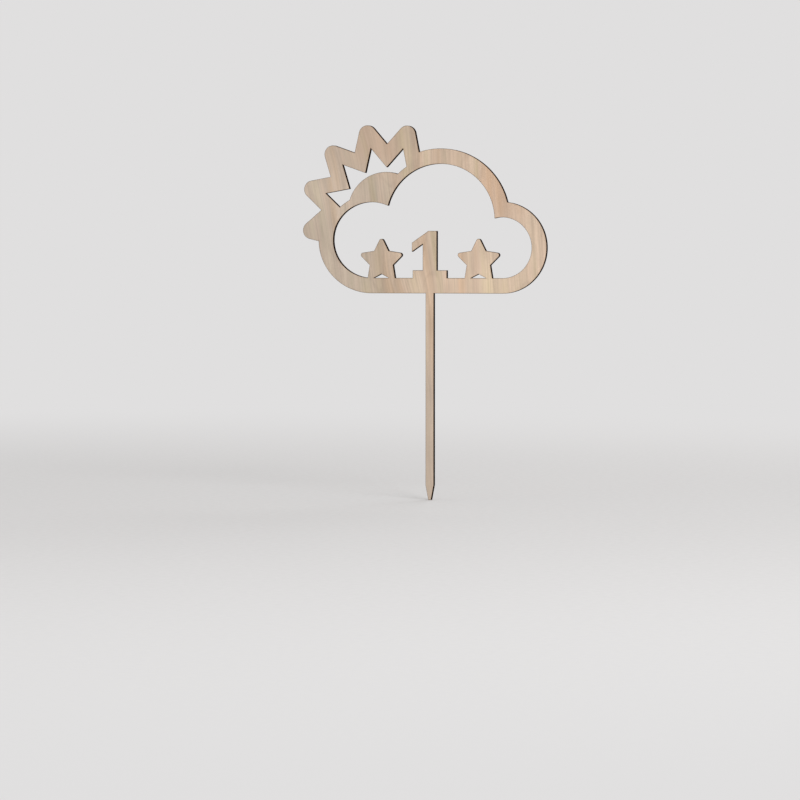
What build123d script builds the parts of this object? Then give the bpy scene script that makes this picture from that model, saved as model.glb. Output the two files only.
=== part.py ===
from build123d import *
import os
from math import cos, radians, sin

# Cake topper, cut in one outline from a sheet of three-ply wood: a cloud frame with a sun behind its
# left shoulder, a numeral between two stars on the cloud's level bar, and a flat stick below.
# Millimetres, +Z up. The origin is on the stick's axis, at the level of the cake's surface.
# +X is to the right seen from the front, +Y is to the back, and the sheet is centred on Y = 0.

# Sheet: two face veneers glued to a core, so five layers from front to back
face_veneer_thickness = 0.5
glue_line_thickness = 0.1
core_thickness = 2.0

# Stick: a free length above the cake, and a length pushed into it that ends in a blunt point
stick_width = 5.0
stick_free_length = 73.2
stick_sunk_length = 50.0
stick_point_length = 9.0
stick_end_width = 1.6

# Cloud: three lobes over a level base, drawn as a band of even width. The left lobe is oval.
cloud_band = 9.1
left_lobe_half_width = 33.0
left_lobe_half_height = 31.7
top_lobe_radius = 42.5
right_lobe_radius = 27.1
left_lobe_reach = 36.1
right_lobe_reach = 44.4
top_lobe_shift = 6.4
top_lobe_lift = 43.5

# Sun: a disc, an open gap and a zigzag band of rays, centred by the notch between two lobes.
# The gap runs into the cloud's band at both ends and leaves a rim there, and the last ray is solid.
sun_disc_radius = 23.8
sun_gap = 2.8
sun_gap_rim = 4.6
sun_shift = 1.2
sun_drop = 3.7
ray_band = 9.2
ray_tip_round = 5.3
ray_half_angle = 26.9
ray_pitch_angle = 29.7
first_ray_angle = 74.3
ray_count = 5
open_ray_count = 4

# Numeral: a stem with a level crown, a flag on its left and a foot on the cloud's bar
numeral_height = 28.0
numeral_stem_width = 8.6
numeral_crown_width = 5.2
numeral_foot_width = 21.0
numeral_foot_height = 4.6
numeral_flag_reach = 11.0
numeral_flag_drop = 7.0
numeral_flag_depth = 5.4

# Stars: one each side of the numeral, standing on two points with a gap between them
star_radius = 15.0
star_waist_radius = 7.6
star_tip_round = 1.4
star_foot_gap = 2.4
star_spacing = 5.2
star_corners = 5
star_feet = 2

# Heights and lobe centres, in the sheet's own plane
cloud_base = stick_free_length
bar_top = cloud_base + cloud_band
bar_middle = cloud_base + cloud_band / 2
left_lobe = Vector(-left_lobe_reach, cloud_base + left_lobe_half_height)
top_lobe = Vector(top_lobe_shift, cloud_base + top_lobe_lift)
right_lobe = Vector(right_lobe_reach, cloud_base + right_lobe_radius)


def cloud(inset):
    """The cloud's shape, drawn in from its outer edge by an inset."""
    with BuildSketch() as shape:
        with BuildLine():
            Polyline(
                (left_lobe.X, cloud_base + inset),
                (right_lobe.X, cloud_base + inset),
                right_lobe,
                top_lobe,
                left_lobe,
                close=True,
            )
        make_face()
        with Locations(left_lobe):
            Ellipse(left_lobe_half_width - inset, left_lobe_half_height - inset)
        with Locations(top_lobe):
            Circle(top_lobe_radius - inset)
        with Locations(right_lobe):
            Circle(right_lobe_radius - inset)
    return shape.sketch


# Open inside of the cloud, and the sun's centre by the notch at the left end of the top lobe's arc
opening = cloud(cloud_band)
top_arc = opening.edges().filter_by(GeomType.CIRCLE).sort_by(Axis.Y)[-1]
left_notch = top_arc.vertices().sort_by(Axis.X)[0]
sun_centre = left_notch.center() - Vector(sun_shift, sun_drop)

# Distance from the sun's centre to the straight edges of the rays, inside and outside the band
half_pitch_angle = ray_pitch_angle / 2
inner_edge_distance = (sun_disc_radius + sun_gap) * sin(radians(ray_half_angle + half_pitch_angle))
outer_edge_distance = inner_edge_distance + ray_band


def polar(radius, angle):
    """Offset of a point at a radius and at an angle in degrees."""
    return Vector(radius * cos(radians(angle)), radius * sin(radians(angle)))


def zigzag(edge_distance, rays_drawn):
    """Corners of the first rays, with edges at a distance from the sun's centre, closed at that centre."""
    tip_radius = edge_distance / sin(radians(ray_half_angle))
    valley_radius = edge_distance / sin(radians(ray_half_angle + half_pitch_angle))
    corners = [sun_centre, sun_centre + polar(valley_radius, first_ray_angle - half_pitch_angle)]
    for ray in range(rays_drawn):
        ray_angle = first_ray_angle + ray * ray_pitch_angle
        corners.append(sun_centre + polar(tip_radius, ray_angle))
        corners.append(sun_centre + polar(valley_radius, ray_angle + half_pitch_angle))
    return corners


# Sun with its rays, rounded at the tips and sharp in the valleys
with BuildSketch() as sun:
    with BuildLine():
        Polyline(*zigzag(outer_edge_distance, ray_count), close=True)
    make_face()
    fillet(sun.vertices().sort_by_distance(sun_centre)[-ray_count:], ray_tip_round)

# Open gap between the disc, the rays and the cloud
with BuildSketch() as gap:
    with BuildLine():
        Polyline(*zigzag(inner_edge_distance, open_ray_count), close=True)
    make_face()
    with Locations(sun_centre):
        Circle(sun_disc_radius, mode=Mode.SUBTRACT)
    add(cloud(cloud_band - sun_gap_rim), mode=Mode.SUBTRACT)

# Numeral, standing on the middle of the bar with its foot sunk into the band
stem_side = numeral_stem_width / 2
foot_side = numeral_foot_width / 2
crown_side = numeral_crown_width - stem_side
numeral_top = bar_top + numeral_height
foot_top = bar_top + numeral_foot_height
flag_top = numeral_top - numeral_flag_drop
flag_foot = flag_top - numeral_flag_depth
flag_slope = numeral_flag_drop / (numeral_flag_reach - crown_side)
with BuildSketch() as numeral:
    with BuildLine():
        Polyline(
            (-foot_side, bar_middle),
            (foot_side, bar_middle),
            (foot_side, foot_top),
            (stem_side, foot_top),
            (stem_side, numeral_top),
            (-crown_side, numeral_top),
            (-numeral_flag_reach, flag_top),
            (-numeral_flag_reach, flag_foot),
            (-stem_side, flag_foot + flag_slope * (numeral_flag_reach - stem_side)),
            (-stem_side, foot_top),
            (-foot_side, foot_top),
            close=True,
        )
    make_face()

# Star about its own centre, with every tip rounded but the two that it stands on
half_corner_angle = 180 / star_corners
star_outline = [
    polar(star_waist_radius if corner % 2 else star_radius, 90 + corner * half_corner_angle)
    for corner in range(2 * star_corners)
]
with BuildSketch() as star:
    with BuildLine():
        Polyline(*star_outline, close=True)
    make_face()
    tips = star.vertices().sort_by_distance(Vector())[-star_corners:]
    fillet(tips.sort_by(Axis.Y)[star_feet:], star_tip_round)
star_side = foot_side + star_spacing + polar(star_radius, 90 - 2 * half_corner_angle).X
star_height = bar_top + star_foot_gap + star_waist_radius

# The whole outline: sun and cloud, then their openings, then what stands on the bar, then the stick
with BuildSketch() as outline:
    add(sun.sketch)
    add(cloud(0))
    add(gap.sketch, mode=Mode.SUBTRACT)
    add(opening, mode=Mode.SUBTRACT)
    add(numeral.sketch)
    with Locations((-star_side, star_height), (star_side, star_height)):
        add(star.sketch)
    with BuildLine():
        Polyline(
            (-stick_width / 2, bar_middle),
            (-stick_width / 2, stick_point_length - stick_sunk_length),
            (-stick_end_width / 2, -stick_sunk_length),
            (stick_end_width / 2, -stick_sunk_length),
            (stick_width / 2, stick_point_length - stick_sunk_length),
            (stick_width / 2, bar_middle),
            close=True,
        )
    make_face()

# Layers of the sheet, from the front face to the back
layers = (
    ("front_veneer", face_veneer_thickness),
    ("front_glue_line", glue_line_thickness),
    ("core_ply", core_thickness),
    ("rear_glue_line", glue_line_thickness),
    ("rear_veneer", face_veneer_thickness),
)
os.makedirs("parts", exist_ok=True)
depth = sum(thickness for layer_name, thickness in layers) / 2
for layer_name, thickness in layers:
    with BuildPart() as layer:
        with BuildSketch(Plane.XZ.offset(depth)):
            add(outline.sketch)
        extrude(amount=-thickness)
    layer.part.label = layer_name
    export_step(layer.part, f"parts/{layer_name}.step")
    depth -= thickness
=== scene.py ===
"""Looks of a laser-cut plywood cake topper, dressed around its packed layers.

Metres, +Z up, with the front of the sheet towards -Y. Each layer of the sheet keeps its own outline,
which is read from the frame, made rounder and given rounded rims, charred cuts and grained faces.
Surface colours are written as they look on screen, from 0 to 255.
"""

import math
from typing import NamedTuple

import bpy
import numpy as np
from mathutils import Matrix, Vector
from mathutils.geometry import delaunay_2d_cdt


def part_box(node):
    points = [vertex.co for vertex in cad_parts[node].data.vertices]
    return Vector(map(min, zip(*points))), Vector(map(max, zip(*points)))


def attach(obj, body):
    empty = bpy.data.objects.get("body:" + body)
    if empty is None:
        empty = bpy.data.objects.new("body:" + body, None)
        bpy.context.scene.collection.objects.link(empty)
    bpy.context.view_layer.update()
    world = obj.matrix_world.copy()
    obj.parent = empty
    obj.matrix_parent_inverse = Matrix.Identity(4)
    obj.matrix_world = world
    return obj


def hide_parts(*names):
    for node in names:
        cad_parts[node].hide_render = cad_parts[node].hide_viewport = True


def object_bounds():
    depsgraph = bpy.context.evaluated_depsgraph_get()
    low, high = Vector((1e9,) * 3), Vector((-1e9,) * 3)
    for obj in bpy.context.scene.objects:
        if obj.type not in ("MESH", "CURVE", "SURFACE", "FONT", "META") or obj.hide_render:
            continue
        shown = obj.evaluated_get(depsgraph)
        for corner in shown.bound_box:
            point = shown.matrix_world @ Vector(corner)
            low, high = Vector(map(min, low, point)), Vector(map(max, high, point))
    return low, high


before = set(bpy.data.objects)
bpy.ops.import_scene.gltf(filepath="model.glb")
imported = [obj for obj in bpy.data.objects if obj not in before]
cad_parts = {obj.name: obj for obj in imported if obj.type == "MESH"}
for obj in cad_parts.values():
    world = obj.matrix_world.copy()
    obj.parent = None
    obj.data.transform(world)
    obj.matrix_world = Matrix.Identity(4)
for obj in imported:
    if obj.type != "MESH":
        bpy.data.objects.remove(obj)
cad_box = [list(corner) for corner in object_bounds()]

MM = 0.001

# Cut edges: the rims of both faces are rubbed round, and the resin has drawn back into the cut
RIM_RADIUS = 0.14 * MM
RIM_STEPS = 3
RESIN_DEPTH = 0.04 * MM

# Cut loops: the spacing of their points, and the turns between which a corner is part of an arc
CUT_SPACING = 0.7 * MM
STRAIGHT_TURN = math.radians(0.05)
ROUND_TURN = math.radians(20)
LEAST_MITRE_SHARE = 0.4

# Faces: the spacing of an even grid of points, and rows of points beside the cuts. A row takes every
# second point of a loop, and leaves out those that come nearer to another cut.
FACE_SPACING = 1.8 * MM
SIDE_ROWS = (0.35 * MM, 0.8 * MM, 1.4 * MM)
SIDE_ROW_STRIDE = 2
SIDE_ROW_CLEAR_SHARE = 0.96

# Meshes: tolerances, the triangulation's output type for triangles inside loops, shading and slots
WELD = 0.001 * MM
TRIANGLE_TOLERANCE_MM = 0.000001
TRIANGLES_INSIDE = 1
SHARP_ANGLE = math.radians(40)
EDGE_ATTRIBUTE = "edge_mm"
CUT_SLOT = 0
FACE_SLOT = 1

# Texture map: its name, and the shares of its width for a cap in view, a hidden cap, a column of cut edge
# and a margin
MAP_NAME = "OFBake"
MAP_SEEN_CAP_SHARE = 0.70
MAP_HIDDEN_CAP_SHARE = 0.14
MAP_COLUMN_SHARE = 0.02
MAP_MARGIN_SHARE = 0.002

# Noise: the range that holds most of its values, and their middle
NOISE_RANGE = (0.28, 0.72)
NOISE_MIDDLE = 0.5


class Pattern(NamedTuple):
    """Noise on the veneer, with features of a size across and along the grain."""

    across: float
    along: float
    detail: float = 2.0
    roughness: float = 0.5


# Veneer: its patterns, which don't change through the sheet
SWAY = Pattern(60 * MM, 100 * MM, detail=1.0)
BANDS = Pattern(5.6 * MM, 120 * MM, detail=1.5)
HUES = Pattern(7.5 * MM, 100 * MM)
STREAKS = Pattern(8.5 * MM, 160 * MM, detail=1.5)
THREADS = Pattern(1.1 * MM, 70 * MM, detail=3.0, roughness=0.6)
FIBRES = Pattern(0.3 * MM, 9 * MM)
MOTTLE = Pattern(12 * MM, 30 * MM)
FLAMES = Pattern(26 * MM, 110 * MM, detail=1.0)
SMOKE = Pattern(6 * MM, 6 * MM)
THROUGH_SIZE = 1.0

# Veneer: slopes of the grain at the left and the right, the height they turn about, and the sway's reach
LEAN_SIDES = (-60 * MM, 40 * MM)
LEAN_SLOPES = (0.20, 0.02)
LEAN_LEVEL = 100 * MM
SWAY_REACH = 16 * MM

# Veneer: growth lines, as the number of contours in the flame noise and the part of a step that one fills
FLAME_CONTOURS = 8.0
FLAME_HALF_STEP = 0.5
FLAME_LINE_SHARE = 0.14

# Veneer: tones from the left side to the right, blurred by the mottle and moved along X with the height. The
# change from side to side is partly the veneer's own tone and partly painted light, greyer and darker on the
# left and warmer and paler on the right, as if the sheet were lit more from the right.
TONE_AND_PAINTED_LIGHT_SIDES = (-55 * MM, 85 * MM)
TONE_AND_PAINTED_LIGHT_BLUR = 30 * MM
TONE_AND_PAINTED_LIGHT_HEIGHTS = (80 * MM, 170 * MM)
TONE_AND_PAINTED_LIGHT_SHIFTS = (0.0, -16 * MM)
TONES_AND_PAINTED_LIGHT = ((0.05, (197, 181, 164)), (0.30, (204, 183, 162)), (0.80, (217, 194, 172)))
TINTS = (
    (0.30, (249, 252, 240)),
    (0.44, (252, 252, 249)),
    (0.55, (254, 251, 250)),
    (0.70, (255, 246, 236)),
)

# Veneer: how far each pattern darkens or lightens it, and its brown streaks
BAND_SHADES = (0.93, 1.07)
THREAD_SHADES = (0.90, 1.10)
MOTTLE_SHADES = (0.94, 1.06)
FIBRE_RANGE = (0.58, 0.74)
FIBRE_SHADES = (1.0, 0.88)
LINE_SHADES = (1.0, 0.93)
STREAK_RANGE = (0.56, 0.74)
STREAK_STRENGTHS = (0.0, 0.4)
STREAK_TONE = (166, 144, 120)

# Veneer: two warmer zones, each by its middle and reach along X and the heights at which it sets in
WARM_ZONES = (
    (-34 * MM, 30 * MM, (135 * MM, 160 * MM)),
    (41 * MM, 18 * MM, (105 * MM, 130 * MM)),
)
WARM_CORE = 3 * MM
WARM_STRENGTH = 0.42
WARM_TONE = (184, 151, 125)

# Veneer: painted shade, which makes the stick greyer and darker towards its lower end
PAINTED_SHADE_HEIGHTS = (10 * MM, 65 * MM)
PAINTED_SHADE_STRENGTHS = (0.4, 0.0)
PAINTED_SHADE_TONE = (180, 168, 156)

# Veneer: heat from the cut, as a brown rim and an uneven smoke stain
RIM_BROWN_MM = (0.10, 0.45)
RIM_TONE = (104, 76, 54)
SMOKE_RANGE = (0.35, 0.7)
SMOKE_SHARES = (0.25, 1.0)
SMOKE_TONE = (170, 132, 92)

# Veneer: its gloss and relief, with the fibres sunk below the threads
VENEER_ROUGHNESS_RANGE = (0.2, 0.8)
VENEER_ROUGHNESS = (0.72, 0.58)
PORE_RANGE = (0.55, 0.75)
PORE_DEPTH_SHARES = (0.0, 0.7)
VENEER_RELIEF = 0.05 * MM
VENEER_SPECULAR = 0.3

# Char: fine lines across the sheet and burnt patches, darker on end grain
CUT_LINE_SIZE = (0.22 * MM, 6 * MM, 0.22 * MM)
CUT_LINE_SHARE = 0.55
BURN_SIZE = (3.5 * MM, 4 * MM, 3.5 * MM)
BURN_SHIFT = (3.1, 5.2, 1.7)
BURN_SHARE = 0.45
END_GRAIN_RANGE = (0.2, 0.95)
END_GRAIN_LIFTS = (0.06, -0.06)
CHAR_STOPS = (0.28, 0.50, 0.74)
CHAR_ROUGHNESS_RANGE = (0.25, 0.75)
CHAR_ROUGHNESS = (0.9, 0.68)
CHAR_RELIEF = 0.06 * MM
CHAR_SPECULAR = 0.0

# Resin: small beads along the film's edge
BEAD_SIZE = (0.9 * MM, 0.4 * MM, 0.9 * MM)
RESIN_TONES = ((0.3, (10, 7, 5)), (0.55, (18, 12, 9)), (0.75, (36, 24, 15)))
RESIN_ROUGHNESS_RANGE = (0.3, 0.7)
RESIN_ROUGHNESS = (0.7, 0.5)
RESIN_RELIEF = 0.02 * MM
RESIN_SPECULAR = 0.05

# Photograph: the view that the camera repeats, in an image 800 pixels wide
IMAGE_WIDTH = 800
FOCAL_LENGTH_PIXELS = 3673
SENSOR_WIDTH_MM = 36
VIEW_AZIMUTH = math.radians(16)
VIEW_ELEVATION = math.radians(2.4)
VIEW_DISTANCE = 2192.46 * MM
VIEW_AIM = Vector((-18.341, -1.6, 9.508)) * MM

# Stage: a paper floor that fades into the backdrop between a near and a far distance
BACKDROP = (224, 223, 223)
FLOOR_SIDES = 96
FLOOR_RADIUS = 6.0
FLOOR_FADE = (0.25, 1.3)
FLOOR_FIBRE_SIZE = (4 * MM, 4 * MM, 1.0)
FLOOR_TONES = ((0.3, (214, 213, 213)), (0.7, (218, 217, 217)))

# Light: even light from all round, and lamps by name, place, width and level
WORLD_COLOUR = (1.0, 0.99, 0.98, 1.0)
WORLD_LEVEL = 0.62
LAMPS = (
    ("key", (1.15, -1.35, 0.95), 0.9, 0.42),
    ("fill", (-1.4, -1.2, 0.6), 1.2, 0.10),
    ("back", (0.3, 1.6, 1.2), 1.2, 0.30),
)


def colour(red, green, blue):
    """A screen colour, from 0 to 255, as the linear colour that a shader takes, by the sRGB curve."""

    def linear(level):
        share = level / 255
        return share / 12.92 if share <= 0.04045 else ((share + 0.055) / 1.055) ** 2.4

    return (linear(red), linear(green), linear(blue), 1.0)


class Graph:
    """A material's node tree, grown one call at a time."""

    def __init__(self, name):
        self.material = bpy.data.materials.new(name)
        self.material.use_nodes = True
        self.tree = self.material.node_tree
        self.surface = self.tree.nodes["Principled BSDF"]
        self.place = self.add("TexCoord").outputs["Object"]

    def add(self, kind, inputs=None, **settings):
        """A new node, with its settings and with values or links on its inputs."""
        made = self.tree.nodes.new("ShaderNode" + kind)
        for name, value in settings.items():
            setattr(made, name, value)
        for socket, value in (inputs or {}).items():
            self.set(made.inputs[socket], value)
        return made

    def set(self, socket, value):
        """Gives a socket a value, or links another socket to it."""
        if isinstance(value, bpy.types.NodeSocket):
            self.tree.links.new(value, socket)
        else:
            socket.default_value = value

    def math(self, operation, *values):
        """The result of one operation on values or sockets."""
        return self.add("Math", dict(enumerate(values)), operation=operation).outputs[0]

    def product(self, first, *others):
        """All the values or sockets multiplied."""
        for other in others:
            first = self.math("MULTIPLY", first, other)
        return first

    def noise(self, size, detail=2.0, roughness=0.5, place=None, shift=(0, 0, 0)):
        """Noise with features of a size in metres along X, Y and Z, moved by a shift counted in features."""
        scale = tuple(1 / length for length in size)
        inputs = {0: place or self.place, 1: scale, 2: shift}
        scaled = self.add("VectorMath", inputs, operation="MULTIPLY_ADD").outputs[0]
        inputs = {"Vector": scaled, "Scale": 1.0, "Detail": detail, "Roughness": roughness}
        return self.add("TexNoise", inputs).outputs[0]

    def pattern(self, pattern, shift, place=None):
        """A veneer pattern's noise."""
        size = (pattern.across, THROUGH_SIZE, pattern.along)
        return self.noise(size, pattern.detail, pattern.roughness, place, shift)

    def between(self, value, source, target=(0.0, 1.0)):
        """A value carried smoothly from one range to another, and held at its ends."""
        inputs = dict(enumerate((value, *source, *target)))
        return self.add("MapRange", inputs, interpolation_type="SMOOTHSTEP").outputs[0]

    def ramp(self, factor, stops):
        """A colour that runs through stops, each a position and a screen colour."""
        made = self.add("ValToRGB", {0: factor})
        elements = made.color_ramp.elements
        for position, _ in stops[1:-1]:
            elements.new(position)
        for element, (position, tone) in zip(elements, stops):
            element.position = position
            element.color = colour(*tone)
        return made.outputs[0]

    def mix(self, factor, first, second, blend_type="MIX"):
        """Two colours mixed by a factor, on the colour sockets of a mix node."""
        inputs = {0: factor, 6: first, 7: second}
        return self.add("Mix", inputs, data_type="RGBA", blend_type=blend_type).outputs[2]

    def tinted(self, base, tint):
        """A colour multiplied by another."""
        return self.mix(1.0, base, tint, "MULTIPLY")

    def stained(self, base, strength, tone):
        """A colour turned towards a screen colour by a strength from 0 to 1."""
        return self.mix(strength, base, colour(*tone))

    def grey(self, value):
        """A value as a colour of three equal channels."""
        return self.add("CombineColor", {0: value, 1: value, 2: value}).outputs[0]

    def finish(self, base, roughness, relief, relief_depth, specular):
        """Links the finished patterns to the surface shader."""
        self.set(self.surface.inputs["Base Color"], base)
        self.set(self.surface.inputs["Roughness"], roughness)
        self.surface.inputs["Specular IOR Level"].default_value = specular
        bump = self.add("Bump", {"Strength": 1.0, "Distance": relief_depth, "Height": relief})
        self.set(self.surface.inputs["Normal"], bump.outputs[0])
        return self.material


def leaning_grain(graph, x, z, shift):
    """Places moved along X, so that a pattern drawn on them leans and sways as the grain does."""
    lean = graph.product(graph.between(x, LEAN_SIDES, LEAN_SLOPES), graph.math("SUBTRACT", z, LEAN_LEVEL))
    sway = graph.math("SUBTRACT", graph.pattern(SWAY, shift), NOISE_MIDDLE)
    moved = graph.math("ADD", lean, graph.product(sway, SWAY_REACH))
    offset = graph.add("CombineXYZ", {0: moved}).outputs[0]
    return graph.add("VectorMath", {0: graph.place, 1: offset}).outputs[0]


def veneer_face(name, shift, rim_strength, smoke_reach_mm, smoke_strength):
    """Pale bare veneer with upright grain, a little browned beside the cuts, with painted light across the
    sheet and painted shade low on the stick.
    """
    graph = Graph(name)
    axes = graph.add("SeparateXYZ", {0: graph.place}).outputs
    x, z = axes["X"], axes["Z"]
    grain = leaning_grain(graph, x, z, shift)
    other_shift = shift[::-1]
    bands = graph.pattern(BANDS, shift, grain)
    hues = graph.pattern(HUES, other_shift, grain)
    streaks = graph.pattern(STREAKS, other_shift, grain)
    threads = graph.pattern(THREADS, shift, grain)
    fibres = graph.pattern(FIBRES, shift, grain)
    mottle = graph.pattern(MOTTLE, shift)

    # Growth lines are contours of one slow noise, so they close into long flame shapes
    flames = graph.product(graph.pattern(FLAMES, shift, grain), FLAME_CONTOURS)
    contour = graph.math("PINGPONG", flames, FLAME_HALF_STEP)
    lines = graph.between(contour, (0.0, FLAME_LINE_SHARE), (1.0, 0.0))

    # The sheet runs from a greyish left side to a warmer and paler right side, partly its own tone and
    # partly painted light falling from the right
    side = graph.math("ADD", x, graph.product(mottle, TONE_AND_PAINTED_LIGHT_BLUR))
    side = graph.math("ADD", side, graph.between(z, TONE_AND_PAINTED_LIGHT_HEIGHTS, TONE_AND_PAINTED_LIGHT_SHIFTS))
    base = graph.ramp(graph.between(side, TONE_AND_PAINTED_LIGHT_SIDES), TONES_AND_PAINTED_LIGHT)
    base = graph.tinted(base, graph.ramp(hues, TINTS))
    shade = graph.product(
        graph.between(bands, NOISE_RANGE, BAND_SHADES),
        graph.between(threads, NOISE_RANGE, THREAD_SHADES),
        graph.between(mottle, NOISE_RANGE, MOTTLE_SHADES),
        graph.between(fibres, FIBRE_RANGE, FIBRE_SHADES),
        graph.between(lines, (0.0, 1.0), LINE_SHADES),
    )
    base = graph.tinted(base, graph.grey(shade))
    base = graph.stained(base, graph.between(streaks, STREAK_RANGE, STREAK_STRENGTHS), STREAK_TONE)
    for middle, reach, heights in WARM_ZONES:
        away = graph.math("ABSOLUTE", graph.math("SUBTRACT", x, middle))
        warmth = graph.between(away, (WARM_CORE, reach), (WARM_STRENGTH, 0.0))
        base = graph.stained(base, graph.product(warmth, graph.between(z, heights)), WARM_TONE)
    # Painted shade: the stick turns greyer and darker towards its lower end
    base = graph.stained(base, graph.between(z, PAINTED_SHADE_HEIGHTS, PAINTED_SHADE_STRENGTHS), PAINTED_SHADE_TONE)

    # Heat from the cut: a thin brown rim, and a faint uneven smoke stain further in
    edge = graph.add("Attribute", attribute_name=EDGE_ATTRIBUTE).outputs["Fac"]
    smoke = graph.product(
        graph.between(edge, (0.0, smoke_reach_mm), (1.0, 0.0)),
        graph.between(graph.pattern(SMOKE, shift), SMOKE_RANGE, SMOKE_SHARES),
        smoke_strength,
    )
    base = graph.stained(base, smoke, SMOKE_TONE)
    base = graph.stained(base, graph.between(edge, RIM_BROWN_MM, (rim_strength, 0.0)), RIM_TONE)

    roughness = graph.between(threads, VENEER_ROUGHNESS_RANGE, VENEER_ROUGHNESS)
    relief = graph.math("SUBTRACT", threads, graph.between(fibres, PORE_RANGE, PORE_DEPTH_SHARES))
    return graph.finish(base, roughness, relief, VENEER_RELIEF, VENEER_SPECULAR)


def charred_cut(name, light, middle, dark, grain_axis):
    """A laser-cut edge: charred wood with fine lines across the sheet, darkest on its end grain."""
    graph = Graph(name)
    lines = graph.noise(CUT_LINE_SIZE, detail=3.0, roughness=0.65)
    burn = graph.noise(BURN_SIZE, shift=BURN_SHIFT)
    normal = graph.add("SeparateXYZ", {0: graph.add("NewGeometry").outputs["True Normal"]})
    end_grain = graph.math("ABSOLUTE", normal.outputs[grain_axis])
    tone = graph.math("ADD", graph.product(lines, CUT_LINE_SHARE), graph.product(burn, BURN_SHARE))
    tone = graph.math("ADD", tone, graph.between(end_grain, END_GRAIN_RANGE, END_GRAIN_LIFTS))
    base = graph.ramp(tone, tuple(zip(CHAR_STOPS, (dark, middle, light))))
    roughness = graph.between(lines, CHAR_ROUGHNESS_RANGE, CHAR_ROUGHNESS)
    return graph.finish(base, roughness, lines, CHAR_RELIEF, CHAR_SPECULAR)


def resin(name):
    """The cured glue film between two plies, scorched where the cut shows it."""
    graph = Graph(name)
    beads = graph.noise(BEAD_SIZE)
    roughness = graph.between(beads, RESIN_ROUGHNESS_RANGE, RESIN_ROUGHNESS)
    return graph.finish(graph.ramp(beads, RESIN_TONES), roughness, beads, RESIN_RELIEF, RESIN_SPECULAR)


def rim_loops(node):
    """The closed loops of (x, z) points round a node's front face, with the wood on their left."""
    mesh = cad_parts[node].data
    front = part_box(node)[0].y
    spots = [(round(v.co.x / WELD) * WELD, round(v.co.z / WELD) * WELD) for v in mesh.vertices]
    steps = set()
    for polygon in mesh.polygons:
        if all(abs(mesh.vertices[v].co.y - front) < WELD for v in polygon.vertices):
            corners = [spots[v] for v in polygon.vertices]
            steps.update(zip(corners, corners[1:] + corners[:1]))
    follower = {start: end for start, end in sorted(steps) if (end, start) not in steps}
    loops = []
    while follower:
        start = min(follower)
        loop = [start]
        while follower[loop[-1]] != start:
            loop.append(follower.pop(loop[-1]))
        follower.pop(loop[-1])
        loops.append(np.array(loop))
    return loops


def turn_angles(loop):
    """How far the line turns at each point of a loop."""
    before = loop - np.roll(loop, 1, axis=0)
    after = np.roll(loop, -1, axis=0) - loop
    cross = before[:, 0] * after[:, 1] - before[:, 1] * after[:, 0]
    return np.arctan2(cross, (before * after).sum(axis=1))


def rounded(loop):
    """A loop with more points, so that its arcs are round and no span is long."""
    turns = turn_angles(loop)
    bends = (np.abs(turns) > STRAIGHT_TURN) & (np.abs(turns) < ROUND_TURN)
    points = []
    for i, start in enumerate(loop):
        following = (i + 1) % len(loop)
        along = loop[following] - start
        span = np.linalg.norm(along)
        outward = np.array((along[1], -along[0])) / span
        bulge = 0.0
        # A span between two bends is the chord of an arc, so its points move out along a parabola
        if bends[i] and bends[following]:
            span_turn = (turns[i] + turns[following]) / 2
            bulge = span / 2 * math.tan(span_turn / 4)
        parts = max(1, math.ceil(span / CUT_SPACING))
        for part in range(parts):
            share = part / parts
            points.append(start + along * share + outward * bulge * 4 * share * (1 - share))
    return np.array(points)


def inward(loop):
    """The step at each point that moves the loop's line one unit into the wood, mitred at corners."""
    after = np.roll(loop, -1, axis=0) - loop
    after /= np.linalg.norm(after, axis=1)[:, None]
    before = np.roll(after, 1, axis=0)
    normals = np.stack((-(before + after)[:, 1], (before + after)[:, 0]), axis=1)
    normals /= np.linalg.norm(normals, axis=1)[:, None]
    left = np.stack((-after[:, 1], after[:, 0]), axis=1)
    lengths = 1 / np.clip((normals * left).sum(axis=1), LEAST_MITRE_SHARE, 1)
    return normals * lengths[:, None]


def spans(loops):
    """Each span of the loops, as its start and end."""
    for loop in loops:
        yield from zip(loop, np.roll(loop, -1, axis=0))


def numbered_spans(loops):
    """Each span of the loops, as the numbers of its start and end among all the loops' points."""
    first = 0
    for loop in loops:
        ring = range(first, first + len(loop))
        yield from zip(ring, [*ring[1:], first])
        first += len(loop)


def inside(points, loops):
    """Which points lie in the wood."""
    crossings = np.zeros(len(points), int)
    for start, end in spans(loops):
        if start[1] != end[1]:
            crosses = (start[1] > points[:, 1]) != (end[1] > points[:, 1])
            share = (points[:, 1] - start[1]) / (end[1] - start[1])
            crossings += crosses & (points[:, 0] < start[0] + share * (end[0] - start[0]))
    return crossings % 2 == 1


def edge_distance(points, loops):
    """How far each point is from the nearest cut."""
    nearest = np.full(len(points), np.inf)
    for start, end in spans(loops):
        along = end - start
        share = np.clip((points - start) @ along / (along @ along), 0, 1)
        offset = points - start - share[:, None] * along
        nearest = np.minimum(nearest, (offset * offset).sum(axis=1))
    return np.sqrt(nearest)


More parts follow.
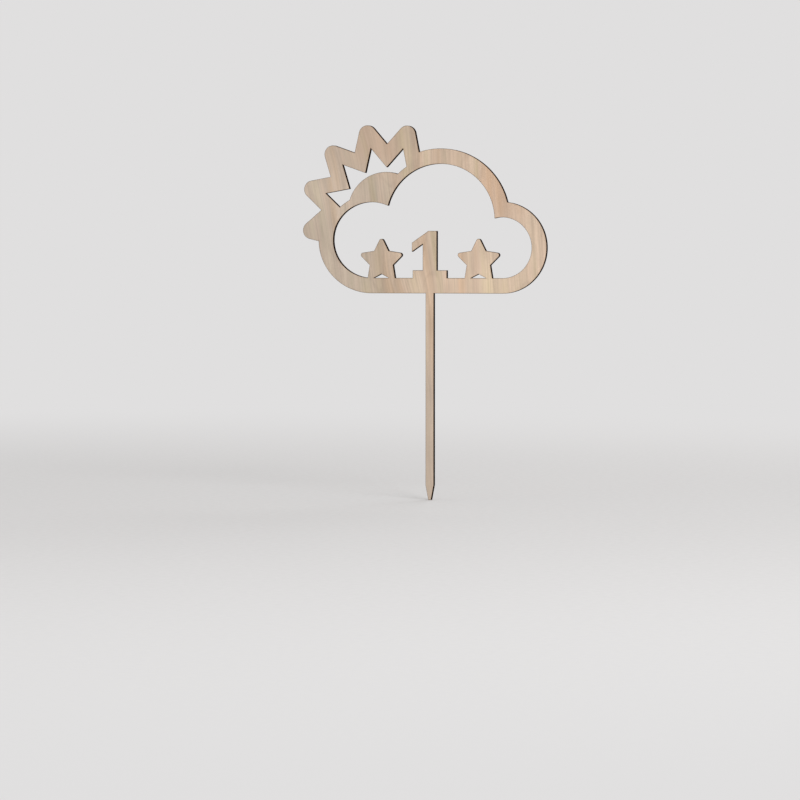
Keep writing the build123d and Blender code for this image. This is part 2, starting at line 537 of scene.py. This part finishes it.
def face_points(loops):
    """Points over a face: rows that follow the cuts, then an even grid further in."""
    kept = []
    for row in SIDE_ROWS:
        for loop in loops:
            points = (loop + inward(loop) * row)[::SIDE_ROW_STRIDE]
            clear = edge_distance(points, loops) > SIDE_ROW_CLEAR_SHARE * row
            kept.append(points[clear & inside(points, loops)])
    low = np.min([loop.min(axis=0) for loop in loops], axis=0)
    high = np.max([loop.max(axis=0) for loop in loops], axis=0)
    row_height = FACE_SPACING * math.sqrt(3) / 2
    grid = [
        (x + FACE_SPACING / 2 * (row % 2), low[1] + row * row_height)
        for row in range(math.ceil((high[1] - low[1]) / row_height))
        for x in np.arange(low[0], high[0], FACE_SPACING)
    ]
    grid = np.array(grid)
    grid = grid[inside(grid, loops)]
    kept.append(grid[edge_distance(grid, loops) > SIDE_ROWS[-1] + FACE_SPACING / 2])
    return np.concatenate(kept)


def triangles(loops, points):
    """Triangles between the loops, numbered over the loops' own points and then the points inside."""
    corners = np.concatenate([*loops, points])
    in_mm = [Vector(corner) for corner in corners / MM]
    edges = list(numbered_spans(loops))
    made = delaunay_2d_cdt(in_mm, edges, [], TRIANGLES_INSIDE, TRIANGLE_TOLERANCE_MM)
    _, _, faces, sources, _, _ = made
    source = [numbers[0] for numbers in sources]
    faces = np.array([[source[v] for v in face] for face in faces])
    return faces[inside(corners[faces].mean(axis=1), loops)]


def wall_faces(loops, level_count):
    """The cut's four-sided faces, from each level of a stack of loops to the next."""
    ring_size = sum(len(loop) for loop in loops)
    return [
        (level + a, level + a + ring_size, level + b + ring_size, level + b)
        for level in range(0, (level_count - 1) * ring_size, ring_size)
        for a, b in numbered_spans(loops)
    ]


def cap_places(corners, left, right, turned):
    """Where a cap's corners lie on the texture map: flat, as seen from outside, between two sides."""
    low = corners.min(axis=0)
    shares = (corners - low) / (corners.max(axis=0) - low)
    if turned:
        shares[:, 0] = 1 - shares[:, 0]
    start = np.array((left, 0.0)) + MAP_MARGIN_SHARE
    end = np.array((right, 1.0)) - MAP_MARGIN_SHARE
    return start + shares * (end - start)


def wall_places(loops, rows, left, right):
    """Where the corners of the cut's faces lie on the texture map: one long strip, cut into columns."""
    columns = int((right - left) / MAP_COLUMN_SHARE)
    width = (right - left) / columns
    lengths = np.concatenate([np.linalg.norm(np.roll(loop, -1, axis=0) - loop, axis=1) for loop in loops])
    end = np.cumsum(lengths) / lengths.sum() * columns
    start = end - lengths / lengths.sum() * columns
    column = np.floor(start)
    reach = (end - column).max()

    def places(across, along):
        u = left + column * width + MAP_MARGIN_SHARE + across * (width - 2 * MAP_MARGIN_SHARE)
        v = MAP_MARGIN_SHARE + (along - column) / reach * (1 - 2 * MAP_MARGIN_SHARE)
        return np.stack((u, v), axis=1)

    profile = np.cumsum(np.linalg.norm(np.diff(rows, axis=0), axis=1))
    shares = [0.0, *(profile / profile[-1])]
    corners = [
        np.stack((places(near, start), places(far, start), places(far, end), places(near, end)), axis=1)
        for near, far in zip(shares, shares[1:])
    ]
    return np.concatenate(corners).reshape(-1, 2)


def sheet_layer(name, node, rows, cut, caps=(None, None)):
    """A layer of the sheet: a stack of outlines, each at a depth Y and drawn in by an inset, with caps.

    caps gives the front and back caps' materials. One with none is hidden and charred as the cut is, and
    one in view gets points all over it.
    """
    loops = [rounded(loop) for loop in rim_loops(node)]
    ring_size = sum(len(loop) for loop in loops)
    outlines = [[loop + inward(loop) * inset for loop in loops] for _, inset in rows]
    vertices = []
    edge_mm = []
    for (depth, inset), outline in zip(rows, outlines):
        vertices += [(x, depth, z) for x, z in np.concatenate(outline)]
        edge_mm += [inset / MM] * ring_size
    faces = wall_faces(loops, len(rows))
    slots = [CUT_SLOT] * len(faces)
    places = []
    left = 0.0
    for level, face, turned in ((0, caps[0], False), (len(rows) - 1, caps[1], True)):
        points = face_points(outlines[level]) if face else np.empty((0, 2))
        flat = np.concatenate([*outlines[level], points])
        rim_numbers = level * ring_size + np.arange(ring_size)
        numbers = np.concatenate((rim_numbers, len(vertices) + np.arange(len(points))))
        corners = triangles(outlines[level], points)
        if turned:
            corners = corners[:, ::-1]
        faces += numbers[corners].tolist()
        slots += [FACE_SLOT if face else CUT_SLOT] * len(corners)
        vertices += [(x, rows[level][0], z) for x, z in points]
        edge_mm += list(edge_distance(points, loops) / MM)
        right = left + (MAP_SEEN_CAP_SHARE if face else MAP_HIDDEN_CAP_SHARE)
        places.append(cap_places(flat[corners].reshape(-1, 2), left, right, turned))
        left = right
    places.insert(0, wall_places(loops, rows, left, 1.0))

    mesh = bpy.data.meshes.new(name)
    mesh.from_pydata(vertices, [], faces)
    for material in (cut, *filter(None, caps)):
        mesh.materials.append(material)
    mesh.polygons.foreach_set("material_index", slots)
    mesh.attributes.new(EDGE_ATTRIBUTE, "FLOAT", "POINT").data.foreach_set("value", edge_mm)
    mesh.uv_layers.new(name=MAP_NAME).uv.foreach_set("vector", np.concatenate(places).ravel())
    mesh.shade_smooth()
    mesh.set_sharp_from_angle(angle=SHARP_ANGLE)
    mesh.validate()
    piece = bpy.data.objects.new(name, mesh)
    bpy.context.scene.collection.objects.link(piece)
    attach(piece, "root")
    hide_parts(node)
    return piece


def rim_rows(face, side):
    """Rows of a rounded rim from a face into the sheet, with side 1 at the front and -1 at the back."""
    quarters = [math.pi / 2 * step / RIM_STEPS for step in range(RIM_STEPS + 1)]
    return [
        (face + side * RIM_RADIUS * (1 - math.cos(angle)), RIM_RADIUS * (1 - math.sin(angle)))
        for angle in quarters
    ]


def dress_layers():
    """The five layers of the sheet."""
    veneer_cut = charred_cut(
        "veneer_cut", light=(68, 42, 24), middle=(38, 22, 12), dark=(15, 9, 6), grain_axis="Z"
    )
    core_cut = charred_cut(
        "core_cut", light=(54, 32, 18), middle=(29, 17, 9), dark=(11, 7, 4), grain_axis="X"
    )
    film = resin("resin_film")
    front_face = veneer_face(
        "veneer_front",
        shift=(31.0, 0.0, 14.0),
        rim_strength=0.30,
        smoke_reach_mm=1.2,
        smoke_strength=0.12,
    )
    back_face = veneer_face(
        "veneer_back",
        shift=(47.0, 0.0, 23.0),
        rim_strength=0.45,
        smoke_reach_mm=2.6,
        smoke_strength=0.35,
    )

    low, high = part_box("front_veneer")
    rows = rim_rows(low.y, 1) + [(high.y, 0.0)]
    piece = sheet_layer("front_veneer_cut", "front_veneer", rows, veneer_cut, (front_face, None))

    low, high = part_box("core_ply")
    rows = [(low.y, 0.0), (high.y, 0.0)]
    piece = sheet_layer("core_ply_cut", "core_ply", rows, core_cut)

    for node in ("front_glue_line", "rear_glue_line"):
        low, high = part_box(node)
        rows = [(low.y, RESIN_DEPTH), (high.y, RESIN_DEPTH)]
        piece = sheet_layer(node + "_cut", node, rows, film)

    low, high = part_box("rear_veneer")
    rows = [(low.y, 0.0)] + rim_rows(high.y, -1)[::-1]
    piece = sheet_layer("rear_veneer_cut", "rear_veneer", rows, veneer_cut, (None, back_face))


def seen_rays(tree):
    """A socket that is 1 for the rays that show the stage: to the camera, in a gloss or through glass."""
    path = tree.nodes.new("ShaderNodeLightPath")
    seen = path.outputs["Is Camera Ray"]
    for ray in ("Is Glossy Ray", "Is Transmission Ray"):
        either = tree.nodes.new("ShaderNodeMath")
        either.operation = "MAXIMUM"
        tree.links.new(seen, either.inputs[0])
        tree.links.new(path.outputs[ray], either.inputs[1])
        seen = either.outputs[0]
    return seen


def add_floor():
    """A pale round floor under the stick's point, which fades into the backdrop's colour."""
    bpy.ops.mesh.primitive_circle_add(
        vertices=FLOOR_SIDES, radius=FLOOR_RADIUS, fill_type="NGON", location=(0, 0, cad_box[0][2])
    )
    floor = bpy.context.object
    floor.name = "floor"
    graph = Graph("floor_paper")
    tree = graph.tree
    tree.nodes.remove(graph.surface)
    paper = graph.ramp(graph.noise(FLOOR_FIBRE_SIZE, detail=3.0), FLOOR_TONES)
    matt = graph.add("BsdfDiffuse", {"Color": paper}).outputs[0]
    glow = graph.add("Emission", {"Color": colour(*BACKDROP), "Strength": 1.0}).outputs[0]
    reach = graph.add("VectorMath", {0: graph.place}, operation="LENGTH").outputs["Value"]
    seen = graph.product(graph.between(reach, FLOOR_FADE), seen_rays(tree))
    surface = graph.add("MixShader", {0: seen, 1: matt, 2: glow}).outputs[0]
    graph.set(tree.nodes["Material Output"].inputs["Surface"], surface)
    floor.data.materials.append(graph.material)


def add_world():
    """Even light from all round, behind which the camera sees the backdrop's colour."""
    world = bpy.data.worlds.new("studio")
    bpy.context.scene.world = world
    world.use_nodes = True
    tree = world.node_tree
    light = tree.nodes["Background"]
    light.inputs["Color"].default_value = WORLD_COLOUR
    light.inputs["Strength"].default_value = WORLD_LEVEL
    backdrop = tree.nodes.new("ShaderNodeBackground")
    backdrop.inputs["Color"].default_value = colour(*BACKDROP)
    mix = tree.nodes.new("ShaderNodeMixShader")
    tree.links.new(seen_rays(tree), mix.inputs[0])
    tree.links.new(light.outputs[0], mix.inputs[1])
    tree.links.new(backdrop.outputs[0], mix.inputs[2])
    tree.links.new(mix.outputs[0], tree.nodes["World Output"].inputs["Surface"])


def add_softbox(name, place, width, level):
    """A square soft light aimed at the object, which alone lights a white surface facing it to a level."""
    middle = (Vector(cad_box[0]) + Vector(cad_box[1])) / 2
    away = Vector(place) - middle
    lamp = bpy.data.lights.new(name, "AREA")
    lamp.shape = "SQUARE"
    lamp.size = width
    lamp.energy = level * math.pi**2 * away.length_squared
    light = bpy.data.objects.new(name, lamp)
    light.location = place
    light.rotation_euler = away.to_track_quat("Z", "Y").to_euler()
    bpy.context.scene.collection.objects.link(light)


def add_camera():
    """A camera that sees the object as the photograph does."""
    lens = bpy.data.cameras.new("photo_view")
    lens.sensor_width = SENSOR_WIDTH_MM
    lens.lens = SENSOR_WIDTH_MM * FOCAL_LENGTH_PIXELS / IMAGE_WIDTH
    away = Vector((
        math.sin(VIEW_AZIMUTH) * math.cos(VIEW_ELEVATION),
        -math.cos(VIEW_AZIMUTH) * math.cos(VIEW_ELEVATION),
        math.sin(VIEW_ELEVATION),
    ))
    camera = bpy.data.objects.new("photo_view", lens)
    camera.location = VIEW_AIM + away * VIEW_DISTANCE
    camera.rotation_euler = away.to_track_quat("Z", "Y").to_euler()
    bpy.context.scene.collection.objects.link(camera)
    bpy.context.scene.camera = camera


dress_layers()
add_floor()
add_world()
for lamp_values in LAMPS:
    add_softbox(*lamp_values)
add_camera()
bpy.context.scene.view_settings.view_transform = "Standard"
